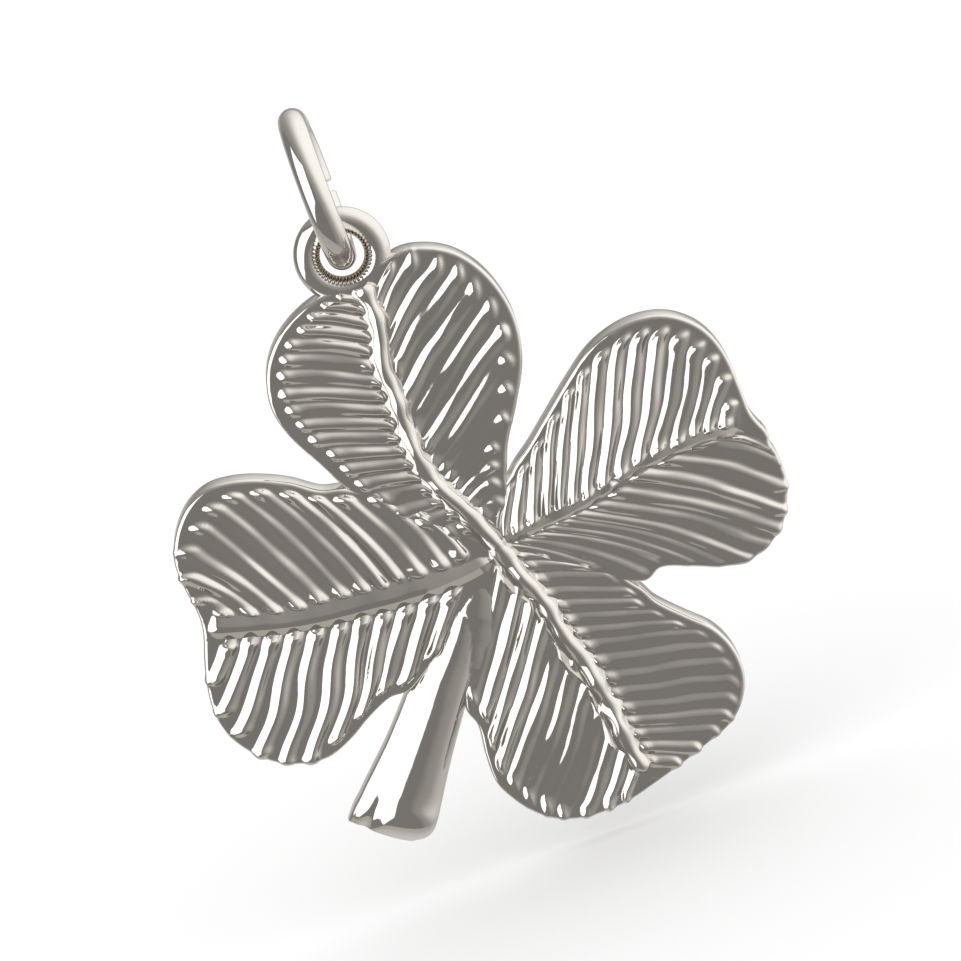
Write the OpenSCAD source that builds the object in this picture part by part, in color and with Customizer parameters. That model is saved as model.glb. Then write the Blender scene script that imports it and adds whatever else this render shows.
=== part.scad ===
// Four leaf clover pendant: a cast clover with raised ribs and veins, hung by its eye on a jump ring.
// It is drawn as it hangs: +Z is up, the front faces -Y, and the origin is the inside top of the
// jump ring, where a chain or cord bears.

/* [Jump ring] */
// Diameter of the jump ring's round wire
ring_wire = 1.0; // [0.8:0.05:1.2]
// Inside diameter of the jump ring
ring_hole = 3.9; // [3.6:0.1:6]
// Opening between the ring's two cut ends, at its back
ring_slit = 0.38; // [0.05:0.01:0.5]
// Turn of the slit below the level of the ring's middle, in degrees
slit_drop = 12; // [0:1:25]

/* [Eye] */
// Diameter of the round stock that the eye is made of
eye_wire = 0.92; // [0.8:0.02:1.1]
// Clearance all round the jump ring's wire inside the eye
wire_gap = 0.27; // [0.1:0.01:0.4]
// How deep the eye's rim is let into the tip of the top leaf
eye_sink = 0.68; // [0.5:0.02:0.8]
// Sideways step of the eye from the tip of the top leaf, to the left
eye_offset = 0.3; // [0:0.02:0.5]
// Height of the eye's middle above the flat back
eye_set = 0.55; // [0.5:0.01:0.65]

/* [Blade] */
// Thickness of the leaves between the flat back and the flat front border
blade_thick = 1.0; // [0.8:0.05:1.4]
// Width of the bevel that breaks the front edge of the leaves
edge_bevel = 0.14; // [0.05:0.01:0.2]

/* [Top leaf] */
// Length of the top leaf from the middle of the clover to its tip
top_length = 10.6; // [9:0.1:13]
// Width of the top leaf
top_width = 9.2; // [8:0.1:11]
// Direction of the top leaf, turned left from the right hand side, in degrees
top_turn = 94.5; // [92:0.5:97]

/* [Right leaf] */
// Length of the right leaf from the middle of the clover to its tip
right_length = 10.5; // [9:0.1:12]
// Width of the right leaf
right_width = 9.6; // [8:0.1:11]
// Direction of the right leaf, in degrees
right_turn = 2.5; // [0:0.5:5]

/* [Bottom leaf] */
// Length of the bottom leaf from the middle of the clover to its tip
bottom_length = 10.5; // [9:0.1:12]
// Width of the bottom leaf
bottom_width = 9.6; // [8:0.1:11]
// Direction of the bottom leaf, in degrees
bottom_turn = -77.5; // [-80:0.5:-75]

/* [Left leaf] */
// Length of the left leaf from the middle of the clover to its tip
left_length = 10.5; // [9:0.1:12]
// Width of the left leaf
left_width = 10.6; // [9:0.1:12]
// Direction of the left leaf, in degrees
left_turn = 174.8; // [172:0.2:178]

/* [Ribs] */
// Width of one raised rib
rib_wide = 0.52; // [0.4:0.02:0.6]
// Height of a full rib above the flat front
rib_high = 0.17; // [0.1:0.01:0.3]
// Flat border left between the rib ends and the edge of the leaf
rib_border = 0.4; // [0.2:0.05:0.6]
// Distance from the middle of a vein to the ends of its ribs
rib_start = 0.4; // [0.2:0.05:0.6]

/* [Veins] */
// Width of the cord that runs down the top leaf and the bottom leaf
cord_wide = 0.54; // [0.3:0.02:0.7]
// Height of the cord above the flat front
cord_high = 0.33; // [0.2:0.01:0.45]
// Width of the smooth ridge along the left leaf
ridge_wide = 0.95; // [0.6:0.05:1.2]
// Height of the smooth ridge along the left leaf
ridge_high = 0.24; // [0.1:0.01:0.35]
// Width of the low vein along the right leaf
seam_wide = 0.5; // [0.3:0.05:0.7]
// Height of the low vein along the right leaf
seam_high = 0.12; // [0.05:0.01:0.25]

/* [Stem] */
// Length of the stem from the middle of the clover to the end of its foot
stem_length = 11.1; // [10:0.1:13]
// Width of the stem's foot
foot_wide = 3.05; // [2.4:0.05:3.6]
// Height of the domed foot above the flat back
stem_high = 1.6; // [1.4:0.05:2.2]
// Direction of the stem, in degrees
stem_turn = -128.5; // [-131:0.5:-126]

/* [Hidden] */
// Sides of a rib's rounded end
rib_sides = 8;
// Sides of a vein's rounded bead
bead_sides = 10;
// Sides of the eye round its hole
eye_sides = 40;
// Sides of the eye's round stock
stock_sides = 14;
// Sides of the jump ring round its hole
ring_sides = 96;
// Sides of the jump ring's wire
wire_sides = 32;
// Steps along the edge of a leaf between two rows of its table
edge_steps = 3;
// Steps along a vein
vein_steps = 10;
// Share of its leaf's length at which a vein ends, short of the edge
vein_end = 0.95;
// How deep raised work is rooted below the flat front
root = 0.13;
// Width of the flat middle between the leaves
hub_wide = 3;
// Width of the flat middle where it reaches a notch
web_wide = 0.8;
// Sides of the rounded corners of the flat middle
web_sides = 16;
// The silver's colour
silver = [0.78, 0.77, 0.75];
// Radius of the jump ring, to the middle of its wire
ring_radius = (ring_hole + ring_wire) / 2;
// Angle that the slit takes up
slit_turn = 2 * asin(ring_slit / 2 / ring_radius);
// Diameter of the eye's hole
eye_hole = ring_wire + 2 * wire_gap;
// Radius of the eye, to the middle of its stock
eye_radius = (eye_hole + eye_wire) / 2;
// Height of the eye's middle above the tip of the top leaf
eye_rise = eye_radius + eye_wire / 2 - eye_sink;

// A leaf is its length, width and direction. Its tables hold shares of that length and width.
leaf_top = [top_length, top_width, top_turn];
leaf_right = [right_length, right_width, right_turn];
leaf_bottom = [bottom_length, bottom_width, bottom_turn];
leaf_left = [left_length, left_width, left_turn];

// Sideways place of each vein, at every tenth of its leaf's length from the middle to the tip.
vein_top = [-0.035, 0.005, 0.055, 0.085, 0.1, 0.095, 0.085, 0.07, 0.035, 0.016, 0.016];
vein_right = [0, 0.002, 0.005, 0.01, 0.022, 0.048, 0.066, 0.07, 0.065, 0.042, 0];
vein_bottom = [0.03, 0.035, 0.044, 0.05, 0.055, 0.055, 0.05, 0.042, 0.034, 0.02, 0.012];
vein_left = [0.02, 0.045, 0.06, 0.065, 0.067, 0.067, 0.064, 0.055, 0.04, 0.02, 0];

// Half of a leaf, from the middle of the clover to the tip. Columns: place along the leaf, place
// across it (left is plus), the place along the vein where the rib that ends here starts, the share
// of the flat border kept at the rib's end, and the share of the full rib height.
top_left = [
    [0, 0, 0, 0, 0.5],
    [0.13, 0.14, 0.1, 0, 0.6],
    [0.25, 0.28, 0.2, 0.1, 0.7],
    [0.365, 0.385, 0.3, 0.6, 0.7],
    [0.49, 0.445, 0.39, 1, 0.7],
    [0.62, 0.505, 0.48, 1, 0.7],
    [0.735, 0.522, 0.57, 1, 0.7],
    [0.845, 0.482, 0.66, 1, 0.7],
    [0.925, 0.405, 0.75, 1, 0.7],
    [0.98, 0.295, 0.83, 1, 0.8],
    [1.005, 0.17, 0.91, 0.8, 0.8],
    [1, 0.015, 1, 0.5, 0]
];
top_right = [
    [0, -0.02, 0, 0, 0.4],
    [0.11, -0.11, 0.09, 0, 0.6],
    [0.21, -0.182, 0.16, 0.4, 0.6],
    [0.3, -0.235, 0.21, 0.8, 0.3],
    [0.405, -0.325, 0.26, 0.8, 0.2],
    [0.53, -0.415, 0.31, 0.8, 0.3],
    [0.66, -0.457, 0.38, 1, 0.6],
    [0.785, -0.45, 0.5, 1, 0.7],
    [0.895, -0.405, 0.63, 1, 0.7],
    [0.98, -0.322, 0.75, 1, 0.6],
    [1.03, -0.2, 0.86, 1, 0.7],
    [1.025, -0.085, 0.94, 1, 0.8],
    [1, 0.015, 1, 0.5, 0]
];
right_left = [
    [0, 0, 0, 0, 0.8],
    [0.085, 0.125, 0.02, 0, 1],
    [0.165, 0.23, 0.05, 0.6, 1],
    [0.25, 0.295, 0.12, 0.8, 1],
    [0.345, 0.375, 0.19, 0.8, 1],
    [0.45, 0.462, 0.25, 0.8, 1],
    [0.55, 0.535, 0.31, 0.9, 1],
    [0.65, 0.572, 0.385, 0.9, 1],
    [0.745, 0.578, 0.47, 0.9, 0.9],
    [0.835, 0.552, 0.56, 0.9, 0.9],
    [0.905, 0.495, 0.65, 1, 0.6],
    [0.95, 0.42, 0.74, 1, 0.4],
    [0.973, 0.32, 0.8, 1, 0.4],
    [0.975, 0.2, 0.87, 1, 0.4],
    [0.975, 0.09, 0.93, 0.8, 0.5],
    [1, 0, 1, 0.4, 0]
];
right_right = [
    [0, 0, 0, 0, 0.6],
    [0.2, -0.165, 0.02, 0, 0.7],
    [0.41, -0.335, 0.05, 0.2, 0.5],
    [0.5, -0.32, 0.1, 0.4, 0.5],
    [0.59, -0.358, 0.16, 0.2, 0.5],
    [0.68, -0.402, 0.22, 0, 0.6],
    [0.77, -0.423, 0.28, 0, 0.7],
    [0.85, -0.402, 0.35, 0, 0.7],
    [0.92, -0.355, 0.43, 0, 0.8],
    [0.968, -0.28, 0.53, 0, 0.6],
    [1, -0.19, 0.63, 0, 0.4],
    [1.004, -0.1, 0.77, 0, 0.4],
    [0.995, -0.04, 0.9, 0, 0.4],
    [1, 0, 1, 0, 0]
];
bottom_left = [
    [0, 0.03, 0, 0, 0.6],
    [0.13, 0.15, 0.05, 0, 0.7],
    [0.26, 0.28, 0.12, 0, 0.5],
    [0.38, 0.375, 0.2, 0.6, 0.4],
    [0.465, 0.405, 0.28, 1, 0.4],
    [0.56, 0.465, 0.36, 1, 0.4],
    [0.65, 0.525, 0.44, 1, 0.4],
    [0.745, 0.545, 0.53, 0.8, 0.4],
    [0.84, 0.525, 0.62, 0.6, 0.4],
    [0.915, 0.465, 0.7, 0.4, 0.4],
    [0.962, 0.38, 0.77, 0.2, 0.5],
    [0.98, 0.26, 0.84, 0.1, 0.6],
    [0.992, 0.14, 0.91, 0.1, 0.6],
    [1, 0.01, 1, 0, 0]
];
bottom_right = [
    [0, 0, 0, 0, 0.3],
    [0.2, -0.21, 0.01, 0, 0.5],
    [0.4, -0.39, 0.03, 0.4, 1],
    [0.5, -0.4, 0.13, 0.6, 1],
    [0.6, -0.437, 0.22, 0.6, 0.9],
    [0.7, -0.46, 0.31, 0.6, 0.8],
    [0.79, -0.44, 0.42, 0.4, 0.3],
    [0.87, -0.398, 0.53, 0.3, 0.5],
    [0.93, -0.338, 0.64, 0.1, 0.3],
    [0.972, -0.255, 0.74, 0.1, 0.4],
    [0.995, -0.16, 0.83, 0.1, 0.7],
    [1.003, -0.08, 0.91, 0.1, 0.8],
    [1, 0.01, 1, 0, 0]
];
left_left = [
    [0, 0.02, 0, 0, 0.3],
    [0.2, 0.21, 0.08, 0, 0.8],
    [0.36, 0.385, 0.17, 0.4, 1],
    [0.46, 0.41, 0.25, 0.8, 1],
    [0.54, 0.455, 0.33, 1, 1],
    [0.625, 0.515, 0.41, 0.8, 1],
    [0.71, 0.552, 0.49, 0.3, 1],
    [0.8, 0.55, 0.57, 0, 1],
    [0.885, 0.52, 0.645, 0, 1],
    [0.96, 0.46, 0.715, 0.3, 1],
    [1.015, 0.38, 0.785, 0.6, 1],
    [1.038, 0.28, 0.85, 0.5, 1],
    [1.028, 0.16, 0.91, 0.4, 1],
    [0.997, 0.02, 1, 0.2, 0]
];
left_right = [
    [0, 0, 0, 0, 0.7],
    [0.13, -0.11, 0.05, 0, 0.9],
    [0.27, -0.23, 0.12, 0.1, 1],
    [0.395, -0.315, 0.19, 0.4, 1],
    [0.49, -0.338, 0.27, 0.8, 1],
    [0.58, -0.39, 0.33, 1, 0.9],
    [0.67, -0.425, 0.39, 1, 0.8],
    [0.76, -0.445, 0.455, 1, 0.6],
    [0.85, -0.443, 0.53, 1, 0.5],
    [0.93, -0.402, 0.61, 0.9, 0.6],
    [0.99, -0.328, 0.69, 0.7, 0.8],
    [1.024, -0.235, 0.77, 0.4, 1],
    [1.018, -0.145, 0.85, 0.3, 1],
    [1, -0.06, 0.93, 0.3, 0.9],
    [0.997, 0.02, 1, 0.2, 0]
];

// How many ribs each half leaf has, from the middle of the clover to the tip.
ribs_top_left = 20;
ribs_top_right = 17;
ribs_right_left = 19;
ribs_right_right = 14;
ribs_bottom_left = 18;
ribs_bottom_right = 14;
ribs_left_left = 13;
ribs_left_right = 14;

// Sections of the stem, from its root to its foot. Columns: share of the length, left and right
// side as shares of the foot's width, and share of the foot's height.
stem_rows = [
    [0.1, -0.33, -0.06, 0.6],
    [0.19, -0.28, 0.1, 0.66],
    [0.28, -0.26, 0.2, 0.74],
    [0.4, -0.3, 0.27, 0.82],
    [0.505, -0.35, 0.34, 0.88],
    [0.694, -0.39, 0.385, 0.94],
    [0.847, -0.46, 0.443, 1],
    [0.92, -0.49, 0.47, 1],
    [0.965, -0.512, 0.42, 0.92],
    [1, -0.51, 0.25, 0.6]
];

// The stem's domed section, from its left side to its right. Columns: share of the width there, and
// share of the height there.
stem_section = [
    [0, 0],
    [0, 0.55],
    [0.06, 0.76],
    [0.2, 0.92],
    [0.4, 1],
    [0.6, 0.98],
    [0.8, 0.88],
    [0.94, 0.7],
    [1, 0.45],
    [1, 0]
];

// A smooth value between the rows of a table, row 0 at place 0
function blend(a, b, c, d, t) =
    0.5 * (2 * b + (c - a) * t + (2 * a - 5 * b + 4 * c - d) * t * t
    + (3 * b - a - 3 * c + d) * t * t * t);
function row_at(rows, place) =
    let (last = len(rows) - 1, i = max(0, min(last - 1, floor(place))))
    blend(rows[max(0, i - 1)], rows[i], rows[i + 1], rows[min(last, i + 2)], place - i);

// A place on a leaf, given in shares, as a point of the clover
function on_leaf(leaf, along, across) =
    let (a = along * leaf[0], b = across * leaf[1])
    [a * cos(leaf[2]) - b * sin(leaf[2]), a * sin(leaf[2]) + b * cos(leaf[2])];
function on_vein(leaf, vein, along) = on_leaf(leaf, along, row_at(vein, along * (len(vein) - 1)));

// The edge of a half leaf and of a whole leaf
function half_edge(leaf, half) =
    [for (i = [0:(len(half) - 1) * edge_steps - 1])
        let (r = row_at(half, i / edge_steps)) on_leaf(leaf, r[0], r[1])];
function leaf_edge(leaf, left, right) =
    let (a = half_edge(leaf, left), b = half_edge(leaf, right), n = len(b) - 1,
        tip = left[len(left) - 1])
    concat(a, [on_leaf(leaf, tip[0], tip[1])], [for (i = [n:-1:1]) b[i]]);

// A closed outline, drawn in by a distance
function drawn_in(points, by) =
    let (n = len(points))
    [for (i = [0:n - 1])
        let (d = points[(i + 1) % n] - points[(i + n - 1) % n], u = d / norm(d))
        points[i] + by * [u[1], -u[0]]];

// A point and a height, put together
function lift(points, high) = [for (p = points) [p[0], p[1], high]];

// The flat leaf with its bevelled front edge
module leaf_blade(leaf, left, right) {
    edge = leaf_edge(leaf, left, right);
    n = len(edge);
    rings = concat(
        lift(edge, 0),
        lift(edge, blade_thick - edge_bevel),
        lift(drawn_in(edge, edge_bevel), blade_thick));
    sides = [for (k = [0:1], i = [0:n - 1], t = [0:1])
        let (a = k * n + i, b = k * n + (i + 1) % n)
        t == 0 ? [a, b + n, a + n] : [a, b, b + n]];
    polyhedron(
        points = rings,
        faces = concat(sides, [[for (i = [n - 1:-1:0]) i]], [[for (i = [0:n - 1]) 2 * n + i]]));
}

// A low rounded bead on the flat front
module bead(place, wide, high, sides) {
    translate([place[0], place[1], blade_thick - root])
        scale([wide, wide, 2 * (high + root)])
            sphere(d = 1, $fn = sides);
}

// One raised rib
module rib(from, to, high) {
    hull() {
        bead(from, rib_wide, high, rib_sides);
        bead(to, rib_wide, high, rib_sides);
    }
}

// The row of ribs on half a leaf
module half_ribs(leaf, vein, half, count) {
    for (k = [0:count - 1]) {
        r = row_at(half, (k + 0.5) * (len(half) - 1) / count);
        from = on_vein(leaf, vein, r[2]);
        to = on_leaf(leaf, r[0], r[1]);
        way = to - from;
        reach = norm(way);
        hold = r[3] * rib_border + rib_wide / 2;
        if (reach > rib_start + hold + rib_wide / 2 && r[4] > 0)
            rib(from + way * rib_start / reach, to - way * hold / reach, rib_high * r[4]);
    }
}

// A vein: beads from the middle of the clover to a share of the leaf's length, joined
module vein_run(leaf, vein, wide, high, reach) {
    for (i = [0:vein_steps - 1]) {
        hull() {
            bead(on_vein(leaf, vein, i * reach / vein_steps), wide, high, bead_sides);
            bead(on_vein(leaf, vein, (i + 1) * reach / vein_steps), wide, high, bead_sides);
        }
    }
}

// A leaf with its ribs
module whole_leaf(leaf, vein, left, right, count_left, count_right) {
    leaf_blade(leaf, left, right);
    half_ribs(leaf, vein, left, count_left);
    half_ribs(leaf, vein, right, count_right);
}

// The cord down the top and bottom leaves, which passes over the middle
module cord() {
    vein_run(leaf_top, vein_top, cord_wide, cord_high, 1);
    vein_run(leaf_bottom, vein_bottom, cord_wide, cord_high, vein_end);
    hull() {
        bead(on_vein(leaf_top, vein_top, 0), cord_wide, cord_high, bead_sides);
        bead(on_vein(leaf_bottom, vein_bottom, 0), cord_wide, cord_high, bead_sides);
    }
}

// Where two neighbouring leaves meet, given one row of each
function meeting(leaf_a, row_a, leaf_b, row_b) =
    (on_leaf(leaf_a, row_a[0], row_a[1]) + on_leaf(leaf_b, row_b[0], row_b[1])) / 2;

// The flat middle that joins the leaves as far as the notches between them
module web() {
    notches = [
        meeting(leaf_top, top_left[2], leaf_left, left_right[2]),
        meeting(leaf_top, top_right[1], leaf_right, right_left[1]),
        meeting(leaf_right, right_right[1], leaf_bottom, bottom_left[2]),
        meeting(leaf_bottom, bottom_right[1], leaf_left, left_left[1])
    ];
    for (at = notches) {
        hull() {
            cylinder(d = hub_wide, h = blade_thick, $fn = web_sides);
            translate([at[0], at[1], 0])
                cylinder(d = web_wide, h = blade_thick, $fn = web_sides);
        }
    }
}

// The domed stem, lofted from its root to its rounded foot
module stem() {
    n = len(stem_section);
    m = len(stem_rows);
    points = [for (r = stem_rows, s = stem_section)
        let (b = (r[1] + (r[2] - r[1]) * s[0]) * foot_wide, a = r[0] * stem_length)
        [a * cos(stem_turn) - b * sin(stem_turn), a * sin(stem_turn) + b * cos(stem_turn),
            s[1] * r[3] * stem_high]];
    sides = [for (k = [0:m - 2], i = [0:n - 1], t = [0:1])
        let (a = k * n + i, b = k * n + (i + 1) % n)
        t == 0 ? [a, b + n, a + n] : [a, b, b + n]];
    polyhedron(
        points = points,
        faces = concat(sides, [[for (i = [n - 1:-1:0]) i]], [[for (i = [0:n - 1]) (m - 1) * n + i]]));
}

// Middle of the eye, beyond the tip of the top leaf
function eye_place() =
    on_leaf(leaf_top, 1 + eye_rise / top_length, eye_offset / top_width);

// Everything cast in one piece, lying on its flat back
module casting() {
    difference() {
        union() {
            whole_leaf(leaf_top, vein_top, top_left, top_right, ribs_top_left, ribs_top_right);
            whole_leaf(leaf_right, vein_right, right_left, right_right, ribs_right_left, ribs_right_right);
            whole_leaf(leaf_bottom, vein_bottom, bottom_left, bottom_right,
                ribs_bottom_left, ribs_bottom_right);
            whole_leaf(leaf_left, vein_left, left_left, left_right, ribs_left_left, ribs_left_right);
            vein_run(leaf_left, vein_left, ridge_wide, ridge_high, vein_end);
            vein_run(leaf_right, vein_right, seam_wide, seam_high, vein_end);
            cord();
            stem();
            web();
        }
        translate([eye_place()[0], eye_place()[1], 0])
            cylinder(r = eye_radius, h = 2 * stem_high, center = true, $fn = eye_sides);
    }
    translate([eye_place()[0], eye_place()[1], eye_set])
        rotate_extrude($fn = eye_sides)
            translate([eye_radius, 0])
                circle(d = eye_wire, $fn = stock_sides);
}

// The clover, hung with its eye round the lowest part of the jump ring's wire
module clover() {
    color(silver)
        translate([0, 0, -ring_hole / 2 - ring_radius])
            rotate([90, 0, 0])
                translate([-eye_place()[0], -eye_place()[1], -eye_set])
                    casting();
}

// The jump ring, with its cut ends at the back
module jump_ring() {
    color(silver)
        translate([0, 0, -ring_hole / 2])
            rotate([0, 90, 0])
                rotate([0, 0, 90 + slit_turn / 2 - slit_drop])
                    rotate_extrude(angle = 360 - slit_turn, $fn = ring_sides)
                        translate([ring_radius, 0])
                            circle(d = ring_wire, $fn = wire_sides);
}

clover();
jump_ring();
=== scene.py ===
"""Four leaf clover pendant: the finished look of the cast clover and its jump ring, on a plain stage.

Sizes are in millimetres until a mesh is made. The casting is shaped lying on its flat back, with its
front up, and is then hung with its eye round the jump ring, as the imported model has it.
"""

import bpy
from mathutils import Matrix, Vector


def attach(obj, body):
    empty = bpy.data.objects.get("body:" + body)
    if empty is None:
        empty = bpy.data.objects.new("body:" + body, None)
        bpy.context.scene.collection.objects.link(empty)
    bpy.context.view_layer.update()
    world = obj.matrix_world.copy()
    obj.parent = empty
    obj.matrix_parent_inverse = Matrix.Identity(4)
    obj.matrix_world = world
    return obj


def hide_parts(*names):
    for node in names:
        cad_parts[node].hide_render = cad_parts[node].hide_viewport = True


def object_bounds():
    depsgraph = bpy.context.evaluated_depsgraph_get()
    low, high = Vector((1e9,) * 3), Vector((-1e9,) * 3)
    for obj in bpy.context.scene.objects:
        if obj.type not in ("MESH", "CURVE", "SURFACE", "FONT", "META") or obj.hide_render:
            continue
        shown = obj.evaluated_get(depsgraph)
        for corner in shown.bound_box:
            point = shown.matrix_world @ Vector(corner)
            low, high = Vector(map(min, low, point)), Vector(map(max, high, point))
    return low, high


bl_info = {
    "name": "Four leaf clover pendant",
    "version": (1, 0, 0),
    "blender": (4, 5, 0),
    "location": "3D View > Sidebar > Clover pendant",
    "description": "Builds a cast clover pendant with ribs and veins, its jump ring and a studio stage",
    "category": "Add Mesh",
}

import math
import random

import bpy
import numpy as np
from bpy.props import FloatProperty, FloatVectorProperty, IntProperty, PointerProperty
from bpy.types import Operator, Panel, PropertyGroup
from mathutils import Matrix, Vector
from mathutils.geometry import convex_hull_2d

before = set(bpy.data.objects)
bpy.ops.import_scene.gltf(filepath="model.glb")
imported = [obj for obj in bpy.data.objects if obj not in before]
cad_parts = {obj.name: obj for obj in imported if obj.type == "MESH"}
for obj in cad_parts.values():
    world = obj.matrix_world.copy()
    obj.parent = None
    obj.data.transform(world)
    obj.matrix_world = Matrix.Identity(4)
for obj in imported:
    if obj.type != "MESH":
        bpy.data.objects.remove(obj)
CAD_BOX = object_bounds()

MM = 0.001

# Sideways place of each vein, at every tenth of its leaf's length from the middle to the tip
VEIN_TOP = [-0.035, 0.005, 0.055, 0.085, 0.1, 0.095, 0.085, 0.07, 0.035, 0.016, 0.016]
VEIN_RIGHT = [0, 0.002, 0.005, 0.01, 0.022, 0.048, 0.066, 0.07, 0.065, 0.042, 0]
VEIN_BOTTOM = [0.03, 0.035, 0.044, 0.05, 0.055, 0.055, 0.05, 0.042, 0.034, 0.02, 0.012]
VEIN_LEFT = [0.02, 0.045, 0.06, 0.065, 0.067, 0.067, 0.064, 0.055, 0.04, 0.02, 0]
VEINS = {"top": VEIN_TOP, "right": VEIN_RIGHT, "bottom": VEIN_BOTTOM, "left": VEIN_LEFT}

# Half of a leaf, from the middle of the clover to the tip. Columns: place along the leaf, place
# across it (left is plus), the place along the vein where the rib that ends here starts, the share
# of the flat border kept at the rib's end, and the share of the full rib height.
TOP_LEFT = [
    (0, 0, 0, 0, 0.5), (0.13, 0.14, 0.1, 0, 0.6), (0.25, 0.28, 0.2, 0.1, 0.7),
    (0.365, 0.385, 0.3, 0.6, 0.7), (0.49, 0.445, 0.39, 1, 0.7), (0.62, 0.505, 0.48, 1, 0.7),
    (0.735, 0.522, 0.57, 1, 0.7), (0.845, 0.482, 0.66, 1, 0.7), (0.925, 0.405, 0.75, 1, 0.7),
    (0.98, 0.295, 0.83, 1, 0.8), (1.005, 0.17, 0.91, 0.8, 0.8), (1, 0.015, 1, 0.5, 0),
]
TOP_RIGHT = [
    (0, -0.02, 0, 0, 0.4), (0.11, -0.11, 0.09, 0, 0.6), (0.21, -0.182, 0.16, 0.4, 0.6),
    (0.3, -0.235, 0.21, 0.8, 0.3), (0.405, -0.325, 0.26, 0.8, 0.2), (0.53, -0.415, 0.31, 0.8, 0.3),
    (0.66, -0.457, 0.38, 1, 0.6), (0.785, -0.45, 0.5, 1, 0.7), (0.895, -0.405, 0.63, 1, 0.7),
    (0.98, -0.322, 0.75, 1, 0.6), (1.03, -0.2, 0.86, 1, 0.7), (1.025, -0.085, 0.94, 1, 0.8),
    (1, 0.015, 1, 0.5, 0),
]
RIGHT_LEFT = [
    (0, 0, 0, 0, 0.8), (0.085, 0.125, 0.02, 0, 1), (0.165, 0.23, 0.05, 0.6, 1),
    (0.25, 0.295, 0.12, 0.8, 1), (0.345, 0.375, 0.19, 0.8, 1), (0.45, 0.462, 0.25, 0.8, 1),
    (0.55, 0.535, 0.31, 0.9, 1), (0.65, 0.572, 0.385, 0.9, 1), (0.745, 0.578, 0.47, 0.9, 0.9),
    (0.835, 0.552, 0.56, 0.9, 0.9), (0.905, 0.495, 0.65, 1, 0.6), (0.95, 0.42, 0.74, 1, 0.4),
    (0.973, 0.32, 0.8, 1, 0.4), (0.975, 0.2, 0.87, 1, 0.4), (0.975, 0.09, 0.93, 0.8, 0.5),
    (1, 0, 1, 0.4, 0),
]
RIGHT_RIGHT = [
    (0, 0, 0, 0, 0.6), (0.2, -0.165, 0.02, 0, 0.6), (0.41, -0.335, 0.05, 0.2, 0.4),
    (0.5, -0.32, 0.1, 0.4, 0.4), (0.59, -0.358, 0.16, 0.2, 0.4), (0.68, -0.402, 0.22, 0, 0.4),
    (0.77, -0.423, 0.28, 0, 0.45), (0.85, -0.402, 0.35, 0, 0.5), (0.92, -0.355, 0.43, 0, 0.6),
    (0.968, -0.28, 0.53, 0, 1.1), (1, -0.19, 0.63, 0, 0.45), (1.004, -0.1, 0.77, 0, 0.35),
    (0.995, -0.04, 0.9, 0, 0.35), (1, 0, 1, 0, 0),
]
BOTTOM_LEFT = [
    (0, 0.03, 0, 0, 0.6), (0.13, 0.15, 0.05, 0, 0.7), (0.26, 0.28, 0.12, 0, 0.5),
    (0.38, 0.375, 0.2, 0.6, 0.4), (0.465, 0.405, 0.28, 1, 0.4), (0.56, 0.465, 0.36, 1, 0.4),
    (0.65, 0.525, 0.44, 1, 0.4), (0.745, 0.545, 0.53, 0.8, 0.4), (0.84, 0.525, 0.62, 0.6, 0.4),
    (0.915, 0.465, 0.7, 0.4, 0.4), (0.962, 0.38, 0.77, 0.2, 0.5), (0.98, 0.26, 0.84, 0.1, 0.6),
    (0.992, 0.14, 0.91, 0.1, 0.6), (1, 0.01, 1, 0, 0),
]
BOTTOM_RIGHT = [
    (0, 0, 0, 0, 0), (0.2, -0.21, 0.01, 0, 0), (0.4, -0.39, 0.03, 0.4, 0.3),
    (0.5, -0.4, 0.13, 0.6, 0.9), (0.6, -0.437, 0.22, 0.6, 0.9), (0.7, -0.46, 0.31, 0.6, 0.8),
    (0.79, -0.44, 0.42, 0.4, 0.3), (0.87, -0.398, 0.53, 0.3, 0.5), (0.93, -0.338, 0.64, 0.1, 0.3),
    (0.972, -0.255, 0.74, 0.1, 0.4), (0.995, -0.16, 0.83, 0.1, 0.7), (1.003, -0.08, 0.91, 0.1, 0.8),
    (1, 0.01, 1, 0, 0),
]
LEFT_LEFT = [
    (0, 0.02, 0, 0, 0.3), (0.2, 0.21, 0.08, 0, 0.8), (0.36, 0.385, 0.17, 0.4, 1),
    (0.46, 0.41, 0.25, 0.8, 1), (0.54, 0.455, 0.33, 1, 1), (0.625, 0.515, 0.41, 0.8, 1),
    (0.71, 0.552, 0.49, 0.3, 1), (0.8, 0.55, 0.57, 0, 1), (0.885, 0.52, 0.645, 0, 1),
    (0.96, 0.46, 0.715, 0.3, 1), (1.015, 0.38, 0.785, 0.6, 1), (1.038, 0.28, 0.85, 0.5, 1),
    (1.028, 0.16, 0.91, 0.4, 1), (0.997, 0.02, 1, 0.2, 0),
]
LEFT_RIGHT = [
    (0, 0, 0, 0, 0.7), (0.13, -0.11, 0.05, 0, 0.9), (0.27, -0.23, 0.12, 0.1, 1),
    (0.395, -0.315, 0.19, 0.4, 1), (0.49, -0.338, 0.27, 0.8, 1), (0.58, -0.39, 0.33, 1, 0.9),
    (0.67, -0.425, 0.39, 1, 0.8), (0.76, -0.445, 0.455, 1, 0.6), (0.85, -0.443, 0.53, 1, 0.5),
    (0.93, -0.402, 0.61, 0.9, 0.6), (0.99, -0.328, 0.69, 0.7, 0.8), (1.024, -0.235, 0.77, 0.4, 1),
    (1.018, -0.145, 0.85, 0.3, 1), (1, -0.06, 0.93, 0.3, 0.9), (0.997, 0.02, 1, 0.2, 0),
]

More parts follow.
